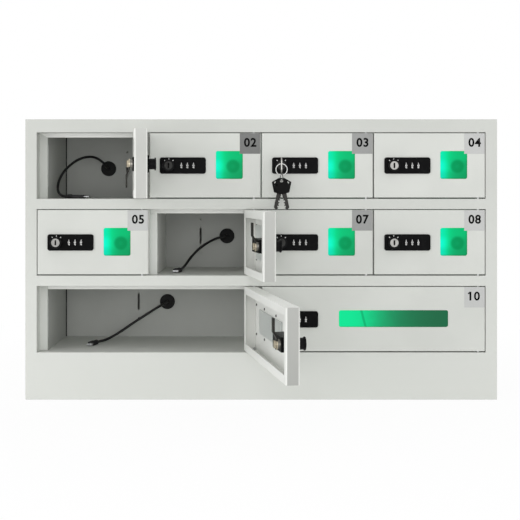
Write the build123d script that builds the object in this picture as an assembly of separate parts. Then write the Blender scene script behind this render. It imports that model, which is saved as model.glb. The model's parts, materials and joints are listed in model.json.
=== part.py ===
"""Ten-door charging locker for mobile phones: a folded sheet-steel case with three rows of
compartments, pin-hung doors with combination cam locks and lit windows, and a service bay
behind the compartments. Millimetres, +Z up, doors facing -Y, origin at the middle of the base."""

from build123d import *
import os
from collections import namedtuple
from math import pi, radians, tan

# ---- Case -------------------------------------------------------------------------------
CASE_WIDTH = 700.0
CASE_DEPTH = 260.0
SHEET = 1.2  # steel sheet of every folded piece
FIT = 0.2  # gap left where one folded piece slides in beside another

PLINTH_HEIGHT = 70.0
OPENING_HEIGHT = 98.5
RAIL_HEIGHT = 15.5
HEADER_HEIGHT = 19.5
STILE_WIDTH = 17.0
RECESS_DEPTH = 24.0  # from the front of the frame back to the door stops
SIDE_STOP = 12.0
TOP_STOP = 6.7
DIVIDER_WIDTH = 20.0
COMPARTMENT_DEPTH = 195.0  # from the front of the frame to the back partition

SMALL_COLUMNS = 4
WIDE_COLUMNS = 2
SMALL_ROWS = 2

REAR_FLANGE = 16.0
COVER_SCREW_RADIUS = 2.0
COVER_SCREW_HEAD = (4.0, 1.6)  # radius, height
COVER_SCREW_ROUNDING = 0.8
VENT_SIZE = (44.0, 5.0)
VENT_PITCH = 12.0
VENT_ROWS = 6
VENT_BANKS = (-230.0, 0.0, 230.0)
SLOT_END_FLAT = 0.2

BOLT_HOLE_RADIUS = 4.5
BOLT_SPACING = (560.0, 150.0)

# ---- Doors ------------------------------------------------------------------------------
DOOR_THICKNESS = 18.0
DOOR_SIDE_GAP = 0.75
DOOR_TOP_GAP = 1.2
DOOR_BOTTOM_GAP = 1.8
DOOR_EDGE_RADIUS = 2.0
DOOR_LIP = 10.0

PIN_RADIUS = 2.0
PIN_CLEARANCE = 0.06
PIN_INSET = 10.0  # from the door's hinge edge to the pin
PIN_SETBACK = 4.5  # from the door's face to the pin
PIN_REACH = 5.0  # how far a pin stands inside the door
PIN_HEAD = (3.0, 1.4)  # radius, height

SMALL_WINDOW = (40.0, 41.4)
WIDE_WINDOW = (162.0, 25.0)
SMALL_WINDOW_FROM_HINGE = 46.6
WIDE_WINDOW_FROM_HINGE = 136.0
WINDOW_RISE = 0.9  # above the middle of the opening
WINDOW_CORNER = 3.0
WINDOW_GAP = 0.2
WINDOW_RECESS = 0.4
WINDOW_FLANGE = 4.5
WINDOW_FLANGE_THICKNESS = 2.5

# ---- Combination cam lock -----------------------------------------------------------------
LOCK_FROM_EDGE = 15.3
LOCK_PLATE = (68.4, 24.2, 2.5)
LOCK_CORNER = 3.5
LOCK_PLATE_CHAMFER = 0.7
LOCK_BODY = (60.0, 19.0, 20.0)
LOCK_CUT_GAP = 0.2
KNOB_FROM_PLATE_END = 13.7
KNOB_WAIST_RADIUS = 7.5
KNOB_RIM_RADIUS = 8.8
KNOB_RIM = 2.0
KNOB_LENGTH = 9.5
KNOB_GAP = 0.3
PLUG_RADIUS = 6.2
PLUG_PROUD = 0.6
KEYWAY = (2.2, 7.4, 16.0)
SPINDLE_RADIUS = 6.0
SPINDLE_GAP = 0.25
CAM_GAP = 1.0  # from the back of a divider's web to the cam
CAM_THICKNESS = 2.0
CAM_WIDTH = 12.0
CAM_HUB_RADIUS = 7.2
CAM_LENGTH = 33.0
CAM_CRANK = (4.0, 8.0, 15.0)  # set-off, and where its slope starts and ends along the cam
CAM_DOWN = (1,)  # the doors whose cam points down; the others' cams point up
CAM_NUT = (5.5, 2.6)  # radius across corners, height
LATCH_SLOT = (62.0, 5.6)  # height, depth

DIAL_COUNT = 3
DIAL_FIRST = 32.2  # from the plate's end to the first dial
DIAL_PITCH = 9.0
DIAL_RADIUS = 6.2
DIAL_WIDTH = 4.0
DIAL_FACES = 10
DIAL_GAP = 0.35
DIAL_PROUD = 1.0
DIAL_AXLE_RADIUS = 1.0
DIAL_AXLE_GAP = 0.1

# ---- Keys on the third lock ---------------------------------------------------------------
KEYED_DOOR = 3
KEY_THICKNESS = 1.8
KEY_BLADE = (6.8, 14.0)  # height, length inside the plug
KEY_BOW = (20.0, 24.0)  # length, height of the part outside
KEY_BOW_CORNER = 6.0
KEY_HOLE_RADIUS = 2.2
KEY_HOLE_FROM_END = 5.0
KEY_HOLE_RISE = 3.2  # above the middle of the bow
KEY_FROM_PLUG = 1.5
RING_RADIUS = 8.2
RING_WIRE = 0.7
RING_DROP = 1.2  # the ring's wire hangs this far below the middle of the hole
LINK_RADIUS = 5.2
LINK_WIRE = 0.6
LINK_TURN = 20.0
RING_GAP = 0.3  # between the ring's wire and the link's
LINK_DROP = 0.4  # the link's wire passes this far below the middle of the keys' holes
SPARE_BOW = (8.0, 27.5, 15.0, 23.0)  # widths at the top, shoulder and neck, height
SPARE_BOW_THICKNESS = 3.0
SPARE_BOW_CORNER = 2.0
SPARE_SHOULDER_DROP = 8.5
SPARE_HOLE_DROP = 4.0
SPARE_SIDE_HOLES = (8.4, 1.6, 4.5)  # offset to each side, radius, drop below the middle hole
SPARE_BLADE = (6.5, 23.5, 2.0)  # width, length, thickness
SPARE_TIP_CHAMFER = 2.4
SPARE_NOTCHES = (1.2, 2.0, 1.0, 1.7)  # depths, from the bow down
SPARE_FIRST_NOTCH = 7.0
SPARE_NOTCH_PITCH = 4.0
SPARE_NOTCH_WIDTH = 2.2
SPARE_FAN = 11.5
SPARE_SPACING = 3.6

# ---- Back partition, grommets, charging hub and leads -------------------------------------
GROMMET_RADIUS = 12.3
GROMMET_FLANGE = 2.5
GROMMET_NECK_RADIUS = 9.0
GROMMET_REAR_RADIUS = 10.5
GROMMET_CORNER = 0.8
GROMMET_OFFSETS = {0: (12.4, 8.0), 1: (27.0, 2.0), 2: (-1.0, -1.6)}  # by row, from the middle
SLOT_OFFSETS = {0: -47.3, 1: -43.4, 2: 30.5}  # by row, from the grommet
SLOT_SIZE = (3.2, 27.0)
SLOT_SCREW_SPAN = 54.0
SLOT_SCREW_RADIUS = 1.3

HUB_SIZE = (420.0, 40.0, 62.0)
HUB_CORNER = 4.0
HUB_BOTTOM = 40.0  # above the service bay's floor
HUB_PORT = (13.0, 2.0, 6.0)
HUB_PORT_RISE = 43.4
HUB_BRIDGE_HEIGHT = 8.0
INLET_SIZE = (28.0, 20.0)
INLET_CORNER = 3.0
INLET_FROM_EDGE = 90.0
INLET_WELL = (22.0, 15.0, 12.0)

LEAD_DIAMETER = 4.0
LEAD_ARC_SHARE = 0.45
LEAD_STRAIGHT = 13.5  # straight out of the grommet
LEAD_REST_GAP = 0.1
CONNECTOR_SHELL = (8.4, 2.6, 8.0)
CONNECTOR_GRIP = (11.0, 5.6, 20.0)
CONNECTOR_GRIP_CORNER = 1.4
CONNECTOR_SHELL_CORNER = 1.17

# Doors that stand open, and how far each one stands open
STANDING_OPEN = {1: 96.7, 6: 100.0, 9: 99.7}

# ---- Derived places -----------------------------------------------------------------------
FRONT = -CASE_DEPTH / 2
BACK = CASE_DEPTH / 2
HALF = CASE_WIDTH / 2
OPENING_HALF = HALF - STILE_WIDTH
LINER_HALF = OPENING_HALF - SIDE_STOP
ROW_COUNT = SMALL_ROWS + 1
ROW_PITCH = OPENING_HEIGHT + RAIL_HEIGHT
CASE_HEIGHT = PLINTH_HEIGHT + ROW_COUNT * OPENING_HEIGHT + SMALL_ROWS * RAIL_HEIGHT + HEADER_HEIGHT
FLOORS = [PLINTH_HEIGHT + row * ROW_PITCH for row in range(ROW_COUNT)]
STOP_FRONT = FRONT + RECESS_DEPTH
STOP_BACK = STOP_FRONT + SHEET
PARTITION_FRONT = FRONT + COMPARTMENT_DEPTH
PARTITION_BACK = PARTITION_FRONT + SHEET
CAM_FRONT = STOP_BACK + SHEET + CAM_GAP
COVER_FRONT = BACK - SHEET
RAIL_HALF = OPENING_HALF - FIT
SHELF_HALF = LINER_HALF - FIT
INNER_HALF = HALF - SHEET - FIT
BED_HALF = OPENING_HALF - FIT

Compartment = namedtuple("Compartment", "number row left right floor")


def compartments():
    """Every compartment, numbered from the top left, between the middles of its door gaps."""
    found = []
    for row in reversed(range(ROW_COUNT)):
        columns = SMALL_COLUMNS if row else WIDE_COLUMNS
        width = 2 * OPENING_HALF / columns
        for column in range(columns):
            left = -OPENING_HALF + column * width
            found.append(Compartment(len(found) + 1, row, left, left + width, FLOORS[row]))
    return found


def block(x, y, z):
    """A box between two limits on each axis."""
    size = [limit[1] - limit[0] for limit in (x, y, z)]
    middle = [(limit[0] + limit[1]) / 2 for limit in (x, y, z)]
    return Pos(*middle) * Box(*size)


def rod_y(x, z, y_from, y_to, radius):
    """A round bar along Y."""
    middle = (y_from + y_to) / 2
    return Pos(x, middle, z) * Rot(90, 0, 0) * Cylinder(radius, abs(y_to - y_from))


def rod_z(x, y, z_from, z_to, radius):
    """A round bar along Z."""
    return Pos(x, y, (z_from + z_to) / 2) * Cylinder(radius, abs(z_to - z_from))


def rounded_slab(x, z, y_from, y_to, width, height, corner):
    """A slab with rounded corners as seen from the front, between two depths."""
    sketch = Plane((x, y_from, z), x_dir=(1, 0, 0), z_dir=(0, 1, 0)) * RectangleRounded(width, height, corner)
    return extrude(sketch, y_to - y_from)


def slot_corner(width):
    """The corner radius that rounds a slot's ends and leaves a narrow flat in their middle."""
    return (width - SLOT_END_FLAT) / 2


def joined(pieces):
    """One solid made of pieces that touch."""
    whole = pieces[0]
    for piece in pieces[1:]:
        whole = whole + piece
    return whole


# ---- Case and its inner sheet-metal work ------------------------------------------------------


def row_middle(row):
    return FLOORS[row] + OPENING_HEIGHT / 2


def door_pin_places():
    return [(c.right - DOOR_SIDE_GAP - PIN_INSET, FRONT + PIN_SETBACK, c) for c in compartments()]


def pin_holes(row, z_from, z_to):
    """The holes that the pins of one row's doors need in the sheet between two heights."""
    return [
        rod_z(x, y, z_from, z_to, PIN_RADIUS + PIN_CLEARANCE)
        for x, y, c in door_pin_places()
        if c.row == row
    ]


def cover_screw_places():
    side = INNER_HALF - REAR_FLANGE / 2
    top = CASE_HEIGHT - SHEET - REAR_FLANGE / 2
    bottom = SHEET + REAR_FLANGE / 2
    heights = [bottom, (bottom + top) / 2, top]
    return [(x, z) for x in (-side, side) for z in heights] + [(0.0, top), (0.0, bottom)]


def outer_case():
    """Roof, sides, front stiles and header, and the rear flange, folded from one wrap of sheet."""
    top = CASE_HEIGHT
    opening_top = top - HEADER_HEIGHT
    roof = top - SHEET
    pieces = [
        block((-HALF, HALF), (FRONT, BACK), (roof, top)),
        block((-HALF, HALF), (FRONT, FRONT + SHEET), (opening_top, top)),
        block((-HALF, HALF), (FRONT, STOP_BACK), (opening_top, opening_top + SHEET)),
        block((-LINER_HALF, LINER_HALF), (STOP_FRONT, STOP_BACK), (opening_top - TOP_STOP, opening_top)),
        block((-HALF, HALF), (COVER_FRONT - SHEET, COVER_FRONT), (roof - REAR_FLANGE, roof)),
    ]
    for side in (-1, 1):
        outer = sorted((side * (HALF - SHEET), side * HALF))
        stile = sorted((side * OPENING_HALF, side * HALF))
        fold = sorted((side * OPENING_HALF, side * (OPENING_HALF + SHEET)))
        stop = sorted((side * LINER_HALF, side * (OPENING_HALF + SHEET)))
        flange = sorted((side * (HALF - SHEET - REAR_FLANGE), side * HALF))
        pieces += [
            block(outer, (FRONT, BACK), (0, top)),
            block(stile, (FRONT, FRONT + SHEET), (0, top)),
            block(fold, (FRONT, STOP_BACK), (0, opening_top)),
            block(stop, (STOP_FRONT, STOP_BACK), (PLINTH_HEIGHT + FIT, opening_top)),
            block(flange, (COVER_FRONT - SHEET, COVER_FRONT), (0, roof)),
        ]
    case = joined(pieces)
    for x, z in cover_screw_places():
        case -= rod_y(x, z, COVER_FRONT - 2 * SHEET, BACK, COVER_SCREW_RADIUS + PIN_CLEARANCE)
    for hole in pin_holes(ROW_COUNT - 1, opening_top - SHEET, opening_top + 2 * SHEET):
        case -= hole
    return case


def base_plinth():
    """Front skirt, the bottom row's floor above it and the base below it, one folded piece."""
    bay_back = COVER_FRONT - SHEET
    step = STOP_BACK + FIT
    pieces = [
        block((-BED_HALF, BED_HALF), (FRONT, FRONT + SHEET), (0, PLINTH_HEIGHT)),
        block((-BED_HALF, BED_HALF), (FRONT, step), (PLINTH_HEIGHT - SHEET, PLINTH_HEIGHT)),
        block((-INNER_HALF, INNER_HALF), (step, PARTITION_BACK), (PLINTH_HEIGHT - SHEET, PLINTH_HEIGHT)),
        block((-BED_HALF, BED_HALF), (FRONT, step), (0, SHEET)),
        block((-INNER_HALF, INNER_HALF), (step, bay_back), (0, SHEET)),
        block(
            (-INNER_HALF + REAR_FLANGE, INNER_HALF - REAR_FLANGE),
            (bay_back - SHEET, bay_back),
            (0, SHEET + REAR_FLANGE),
        ),
    ]
    plinth = joined(pieces)
    for x, z in cover_screw_places():
        if x == 0:
            plinth -= rod_y(x, z, bay_back - 2 * SHEET, bay_back + SHEET, COVER_SCREW_RADIUS + PIN_CLEARANCE)
    for x in (-BOLT_SPACING[0] / 2, BOLT_SPACING[0] / 2):
        for y in (-BOLT_SPACING[1] / 2, BOLT_SPACING[1] / 2):
            plinth -= rod_z(x, y, -SHEET, 2 * SHEET, BOLT_HOLE_RADIUS)
    for hole in pin_holes(0, PLINTH_HEIGHT - 2 * SHEET, PLINTH_HEIGHT + SHEET):
        plinth -= hole
    return plinth


def shelf(row):
    """A floor for one row, folded down at the front into a rail with the stop for the row below."""
    floor = FLOORS[row]
    under = floor - RAIL_HEIGHT
    pieces = [
        block((-RAIL_HALF, RAIL_HALF), (FRONT, STOP_FRONT), (floor - SHEET, floor)),
        block((-SHELF_HALF, SHELF_HALF), (STOP_FRONT, PARTITION_FRONT), (floor - SHEET, floor)),
        block((-RAIL_HALF, RAIL_HALF), (FRONT, FRONT + SHEET), (under, floor)),
        block((-RAIL_HALF, RAIL_HALF), (FRONT, STOP_FRONT), (under, under + SHEET)),
        block((-SHELF_HALF, SHELF_HALF), (STOP_FRONT, STOP_BACK), (under - TOP_STOP, under + SHEET)),
    ]
    made = joined(pieces)
    for hole in pin_holes(row, floor - 2 * SHEET, floor + SHEET):
        made -= hole
    for hole in pin_holes(row - 1, under - SHEET, under + 2 * SHEET):
        made -= hole
    return made


def latch_slot(c, x_from, x_to):
    """The opening that the cam of one compartment's lock turns into, in the wall on its left."""
    middle = row_middle(c.row)
    height, depth = LATCH_SLOT
    return block(
        (x_from, x_to),
        (STOP_BACK + SHEET, STOP_BACK + SHEET + depth),
        (middle - height / 2, middle + height / 2),
    )


def divider(c):
    """A channel on the left of one compartment, open at the back, its web behind the doors."""
    top = FLOORS[c.row + 1] if c.row + 1 < ROW_COUNT else CASE_HEIGHT
    height = (c.floor, top - SHEET)
    half = DIVIDER_WIDTH / 2
    channel = block((c.left - half, c.left + half), (STOP_BACK, PARTITION_FRONT), height)
    channel -= block(
        (c.left - half + SHEET, c.left + half - SHEET), (STOP_BACK + SHEET, PARTITION_FRONT), height
    )
    return channel - latch_slot(c, c.left + half - 2 * SHEET, c.left + half + SHEET)


def side_liner(side):
    """The outer wall of the end compartments, with a flange at the back that meets the side."""
    height = (PLINTH_HEIGHT, CASE_HEIGHT - SHEET)
    wall = sorted((side * LINER_HALF, side * (LINER_HALF + SHEET)))
    flange = sorted((side * LINER_HALF, side * INNER_HALF))
    liner = block(wall, (STOP_BACK, PARTITION_FRONT), height)
    liner += block(flange, (PARTITION_FRONT - SHEET, PARTITION_FRONT), height)
    if side < 0:
        for c in compartments():
            if c.left == -OPENING_HALF:
                liner -= latch_slot(c, -LINER_HALF - 2 * SHEET, -LINER_HALF + SHEET)
    return liner


def compartment_walls():
    dividers = [divider(c) for c in compartments() if c.left > -OPENING_HALF]
    return [side_liner(-1), side_liner(1), *dividers]


def grommet_place(c):
    across, up = GROMMET_OFFSETS[c.row]
    return (c.left + c.right) / 2 + across, row_middle(c.row) + up


def back_partition():
    """The sheet behind all compartments, pierced for the grommets and the cable slots."""
    sheet = block(
        (-INNER_HALF, INNER_HALF), (PARTITION_FRONT, PARTITION_BACK), (PLINTH_HEIGHT, CASE_HEIGHT - SHEET)
    )
    through = (PARTITION_FRONT - SHEET, PARTITION_BACK + SHEET)
    for c in compartments():
        x, z = grommet_place(c)
        slot_x = x + SLOT_OFFSETS[c.row]
        sheet -= rod_y(x, z, *through, GROMMET_NECK_RADIUS)
        sheet -= rounded_slab(slot_x, z, *through, *SLOT_SIZE, slot_corner(SLOT_SIZE[0]))
        for end in (-SLOT_SCREW_SPAN / 2, SLOT_SCREW_SPAN / 2):
            sheet -= rod_y(slot_x, z + end, *through, SLOT_SCREW_RADIUS)
    return sheet


def rear_cover():
    """The screwed-on cover of the service bay, with banks of vent slots and the inlet's cut-out."""
    height = (SHEET + FIT, CASE_HEIGHT - SHEET - FIT)
    cover = block((-INNER_HALF, INNER_HALF), (COVER_FRONT, BACK), height)
    through = (COVER_FRONT - SHEET, BACK + SHEET)
    width, slot_height = VENT_SIZE
    middle = CASE_HEIGHT / 2
    for bank in VENT_BANKS:
        for step in range(VENT_ROWS):
            z = middle + (step - (VENT_ROWS - 1) / 2) * VENT_PITCH
            cover -= rounded_slab(bank, z, *through, width, slot_height, slot_corner(slot_height))
    for x, z in cover_screw_places():
        cover -= rod_y(x, z, *through, COVER_SCREW_RADIUS + PIN_CLEARANCE)
    x, z = inlet_place()
    return cover - rounded_slab(x, z, *through, INLET_SIZE[0] + FIT, INLET_SIZE[1] + FIT, INLET_CORNER)


def cover_screws():
    head_radius, head_height = COVER_SCREW_HEAD
    screws = []
    for x, z in cover_screw_places():
        shank = rod_y(x, z, COVER_FRONT - 4 * SHEET, BACK, COVER_SCREW_RADIUS)
        head = rod_y(x, z, BACK, BACK + head_height, head_radius)
        head = fillet(head.edges().group_by(Axis.Y)[-1], COVER_SCREW_ROUNDING)
        screws.append(shank + head)
    return screws


def hinge_pin(x, y, z, up):
    """A headed pin through the sheet at height z, standing into the door above or below it."""
    head_radius, head_height = PIN_HEAD
    way = 1 if up else -1
    gap = DOOR_BOTTOM_GAP if up else DOOR_TOP_GAP
    shank = rod_z(x, y, z - way * SHEET, z + way * (gap + PIN_REACH), PIN_RADIUS)
    return shank + rod_z(x, y, z - way * SHEET, z - way * (SHEET + head_height), head_radius)


def hinge_pins():
    pins = []
    for x, y, c in door_pin_places():
        pins.append(hinge_pin(x, y, c.floor, up=True))
        pins.append(hinge_pin(x, y, c.floor + OPENING_HEIGHT, up=False))
    return pins


# ---- Doors, windows and locks ----------------------------------------------------------------


def door_limits(c):
    """The left, right, bottom and top of one door's face."""
    return (
        c.left + DOOR_SIDE_GAP,
        c.right - DOOR_SIDE_GAP,
        c.floor + DOOR_BOTTOM_GAP,
        c.floor + OPENING_HEIGHT - DOOR_TOP_GAP,
    )


def window_of(c):
    """The width, height and middle of one door's window."""
    hinge_edge = door_limits(c)[1]
    wide = c.row == 0
    size = WIDE_WINDOW if wide else SMALL_WINDOW
    from_hinge = WIDE_WINDOW_FROM_HINGE if wide else SMALL_WINDOW_FROM_HINGE
    return size, hinge_edge - from_hinge, row_middle(c.row) + WINDOW_RISE


def lock_middle(c):
    return c.left + DOOR_SIDE_GAP + LOCK_FROM_EDGE + LOCK_PLATE[0] / 2, row_middle(c.row)


def knob_place(c):
    x, z = lock_middle(c)
    return x - LOCK_PLATE[0] / 2 + KNOB_FROM_PLATE_END, z


def dial_places(c):
    x, z = lock_middle(c)
    first = x - LOCK_PLATE[0] / 2 + DIAL_FIRST
    return [(first + step * DIAL_PITCH, z) for step in range(DIAL_COUNT)]


def door_panel(c):
    """A pan folded from one sheet, with lips at the back, cut for the window and the lock."""
    left, right, bottom, top = door_limits(c)
    back = FRONT + DOOR_THICKNESS
    shell = block((left, right), (FRONT, back), (bottom, top))
    shell = fillet(shell.edges().filter_by(Axis.Z), DOOR_EDGE_RADIUS)
    shell -= block(
        (left + SHEET, right - SHEET), (FRONT + SHEET, back - SHEET), (bottom + SHEET, top - SHEET)
    )
    edge = SHEET + DOOR_LIP
    shell -= block((left + edge, right - edge), (back - 2 * SHEET, back + SHEET), (bottom + edge, top - edge))
    through = (FRONT - SHEET, FRONT + 2 * SHEET)
    (width, height), x, z = window_of(c)
    shell -= rounded_slab(x, z, *through, width, height, WINDOW_CORNER)
    x, z = lock_middle(c)
    cut = [size + 2 * LOCK_CUT_GAP for size in LOCK_BODY[:2]]
    shell -= block((x - cut[0] / 2, x + cut[0] / 2), through, (z - cut[1] / 2, z + cut[1] / 2))
    pin_x, pin_y = right - PIN_INSET, FRONT + PIN_SETBACK
    for end in (bottom, top):
        shell -= rod_z(pin_x, pin_y, end - 2 * SHEET, end + 2 * SHEET, PIN_RADIUS + PIN_CLEARANCE)
    return shell


def window_pane(c):
    """A stepped acrylic pane: its face fills the cut-out and its flange bears on the sheet behind."""
    (width, height), x, z = window_of(c)
    face_back = FRONT + SHEET
    face = rounded_slab(
        x,
        z,
        FRONT + WINDOW_RECESS,
        face_back,
        width - 2 * WINDOW_GAP,
        height - 2 * WINDOW_GAP,
        WINDOW_CORNER - WINDOW_GAP,
    )
    flange = block(
        (x - width / 2 - WINDOW_FLANGE, x + width / 2 + WINDOW_FLANGE),
        (face_back, face_back + WINDOW_FLANGE_THICKNESS),
        (z - height / 2 - WINDOW_FLANGE, z + height / 2 + WINDOW_FLANGE),
    )
    return face + flange


def dial_axis_y():
    return FRONT - LOCK_PLATE[2] - DIAL_PROUD + DIAL_RADIUS


def lock_housing(c):
    """Face plate and body, with a bore for the spindle and a chamber for each dial."""
    x, z = lock_middle(c)
    width, height, thickness = LOCK_PLATE
    plate = rounded_slab(x, z, FRONT - thickness, FRONT, width, height, LOCK_CORNER)
    plate = chamfer(plate.edges().group_by(Axis.Y)[0], LOCK_PLATE_CHAMFER)
    body = block(
        (x - LOCK_BODY[0] / 2, x + LOCK_BODY[0] / 2),
        (FRONT, FRONT + LOCK_BODY[2]),
        (z - LOCK_BODY[1] / 2, z + LOCK_BODY[1] / 2),
    )
    housing = plate + body
    knob_x, knob_z = knob_place(c)
    bore = SPINDLE_RADIUS + SPINDLE_GAP
    housing -= rod_y(knob_x, knob_z, FRONT - 2 * thickness, FRONT + LOCK_BODY[2] + SHEET, bore)
    chamber = Cylinder(DIAL_RADIUS + DIAL_GAP, DIAL_WIDTH + 2 * DIAL_GAP)
    for dial_x, dial_z in dial_places(c):
        housing -= Pos(dial_x, dial_axis_y(), dial_z) * Rot(0, 90, 0) * chamber
    first, last = dial_places(c)[0][0], dial_places(c)[-1][0]
    reach_x = DIAL_WIDTH / 2 + 3 * DIAL_GAP
    axle = Pos((first + last) / 2, dial_axis_y(), z) * Rot(0, 90, 0)
    return housing - axle * Cylinder(DIAL_AXLE_RADIUS + DIAL_AXLE_GAP, last - first + 2 * reach_x)


def dial_axle(c):
    first, last = dial_places(c)[0][0], dial_places(c)[-1][0]
    reach_x = DIAL_WIDTH / 2 + 2 * DIAL_GAP
    middle = Pos((first + last) / 2, dial_axis_y(), row_middle(c.row)) * Rot(0, 90, 0)
    return middle * Cylinder(DIAL_AXLE_RADIUS, last - first + 2 * reach_x)


def dial_wheels(c):
    """The number wheels, ten flats each, with a bore for their axle."""
    wheels = []
    for x, z in dial_places(c):
        plane = Plane((x - DIAL_WIDTH / 2, dial_axis_y(), z), x_dir=(0, 1, 0), z_dir=(1, 0, 0))
        flat = RegularPolygon(DIAL_RADIUS, DIAL_FACES, rotation=180 / DIAL_FACES)
        flat -= Circle(DIAL_AXLE_RADIUS + DIAL_AXLE_GAP)
        wheels.append(extrude(plane * flat, DIAL_WIDTH))
    return wheels


def lock_pieces(c):
    """Housing and axle, and the wheels too, except on the keyed lock, whose wheels are apart."""
    pieces = [lock_housing(c), dial_axle(c)]
    return pieces if c.number == KEYED_DOOR else pieces + dial_wheels(c)


def knob_front():
    return FRONT - LOCK_PLATE[2] - KNOB_GAP - KNOB_LENGTH


def cam(c):
    """The cranked cam: its hub on the spindle, and an arm whose end lies behind the stops."""
    x, z = knob_place(c)
    way = -1 if c.number in CAM_DOWN else 1
    set_off, slope_from, slope_to = CAM_CRANK
    hub_front = CAM_FRONT - set_off
    front = [(hub_front, 0), (hub_front, slope_from), (CAM_FRONT, slope_to), (CAM_FRONT, CAM_LENGTH)]
    back = [(y + CAM_THICKNESS, along) for y, along in reversed(front)]
    outline = Polyline(*[(y, way * along) for y, along in front + back], close=True)
    side = Plane((x - CAM_WIDTH / 2, 0, z), x_dir=(0, 1, 0), z_dir=(1, 0, 0))
    arm = extrude(side * make_face(outline), CAM_WIDTH)
    hub_back = hub_front + CAM_THICKNESS
    return arm + rod_y(x, z, hub_front, hub_back, CAM_HUB_RADIUS), hub_front, hub_back


def turning_spindle(c):
    """Knob with its key plug, the spindle through the lock, and the cam with its nut."""
    x, z = knob_place(c)
    base = FRONT - LOCK_PLATE[2] - KNOB_GAP
    front = knob_front()
    rim = rod_y(x, z, front, front + KNOB_RIM, KNOB_RIM_RADIUS)
    waist = rod_y(x, z, front + KNOB_RIM, base, KNOB_WAIST_RADIUS)
    arm, hub_front, hub_back = cam(c)
    shaft = rod_y(x, z, base, hub_front, SPINDLE_RADIUS)
    plug = rod_y(x, z, front - PLUG_PROUD, front, PLUG_RADIUS)
    nut_face = Plane((x, hub_back, z), x_dir=(1, 0, 0), z_dir=(0, 1, 0))
    nut = extrude(nut_face * RegularPolygon(CAM_NUT[0], 6), CAM_NUT[1])
    made = joined([rim, waist, plug, shaft, arm, nut])
    width, height, depth = KEYWAY
    keyway_y = (front - PLUG_PROUD, front - PLUG_PROUD + depth)
    return made - block((x - width / 2, x + width / 2), keyway_y, (z - height / 2, z + height / 2))


# ---- Key in the third lock and the spare keys on it ---------------------------------------------


def key_bow_limits():
    """The front and back of the bow of the key that stands in the lock."""
    back = knob_front() - PLUG_PROUD - KEY_FROM_PLUG
    return back - KEY_BOW[0], back


def key_hole_y():
    return key_bow_limits()[0] + KEY_HOLE_FROM_END


def key_in_lock(c):
    """A flat key standing in the keyway, its bow upright."""
    x, z = knob_place(c)
    bow_front, bow_back = key_bow_limits()
    profile = Plane((x - KEY_THICKNESS / 2, (bow_front + bow_back) / 2, z), x_dir=(0, 1, 0), z_dir=(1, 0, 0))
    bow = extrude(profile * RectangleRounded(*KEY_BOW, KEY_BOW_CORNER), KEY_THICKNESS)
    height, inside = KEY_BLADE
    blade = block(
        (x - KEY_THICKNESS / 2, x + KEY_THICKNESS / 2),
        (bow_back - KEY_THICKNESS, bow_back + KEY_FROM_PLUG + inside),
        (z - height / 2, z + height / 2),
    )
    hole = Pos(x, key_hole_y(), z + KEY_HOLE_RISE) * Rot(0, 90, 0) * Cylinder(KEY_HOLE_RADIUS, 4 * KEY_THICKNESS)
    return bow + blade - hole


def ring_top(c):
    """The middle of the split ring's wire, where it passes through the standing key's hole."""
    x, z = knob_place(c)
    return x, key_hole_y(), z + KEY_HOLE_RISE - RING_DROP


def spare_key(side):
    """One spare key, hanging from the origin: a plastic bow with three holes and a notched blade."""
    crown, shoulder, neck, height = SPARE_BOW
    top = SPARE_HOLE_DROP
    outline = Polyline(
        (-shoulder / 2, top - SPARE_SHOULDER_DROP),
        (-crown / 2, top),
        (crown / 2, top),
        (shoulder / 2, top - SPARE_SHOULDER_DROP),
        (neck / 2, top - height),
        (-neck / 2, top - height),
        close=True,
    )
    face = fillet(make_face(outline).vertices(), SPARE_BOW_CORNER)
    bow = extrude(Plane.XZ.offset(-SPARE_BOW_THICKNESS / 2) * face, SPARE_BOW_THICKNESS)
    bow -= rod_y(0, 0, -SPARE_BOW_THICKNESS, SPARE_BOW_THICKNESS, KEY_HOLE_RADIUS)
    offset, radius, drop = SPARE_SIDE_HOLES
    for x in (-offset, offset):
        bow -= rod_y(x, -drop, -SPARE_BOW_THICKNESS, SPARE_BOW_THICKNESS, radius)
    width, length, thickness = SPARE_BLADE
    bow_end = top - height
    blade = block((-width / 2, width / 2), (-thickness / 2, thickness / 2), (bow_end - length, bow_end))
    tip = blade.edges().filter_by(Axis.Y).group_by(Axis.Z)[0]
    blade = chamfer(tip, SPARE_TIP_CHAMFER)
    edge, half_notch = side * width / 2, SPARE_NOTCH_WIDTH / 2
    for step, depth in enumerate(SPARE_NOTCHES):
        z = bow_end - SPARE_FIRST_NOTCH - SPARE_NOTCH_PITCH * step
        notch = block((edge - depth, edge + depth), (-thickness, thickness), (z - half_notch, z + half_notch))
        blade -= notch
    return bow + blade


def spare_keys(c):
    """Split ring, a link, and two spare keys fanned out below it."""
    x, y, z = ring_top(c)
    ring = Pos(x, y, z - RING_RADIUS) * Rot(90, 0, 0) * Torus(RING_RADIUS, RING_WIRE)
    link_z = z - 2 * RING_RADIUS - LINK_RADIUS + RING_WIRE + LINK_WIRE + RING_GAP
    link = Pos(x, y, link_z) * Rot(0, 0, LINK_TURN) * Rot(0, 90, 0) * Torus(LINK_RADIUS, LINK_WIRE)
    hole_z = link_z - LINK_RADIUS + LINK_DROP
    keys = []
    for side in (-1, 1):
        place = Pos(x, y + side * SPARE_SPACING / 2, hole_z) * Rot(0, side * SPARE_FAN, 0)
        keys.append(place * spare_key(side))
    return [ring, link, *keys]


# ---- Grommets, charging hub and leads --------------------------------------------------------------


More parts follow.
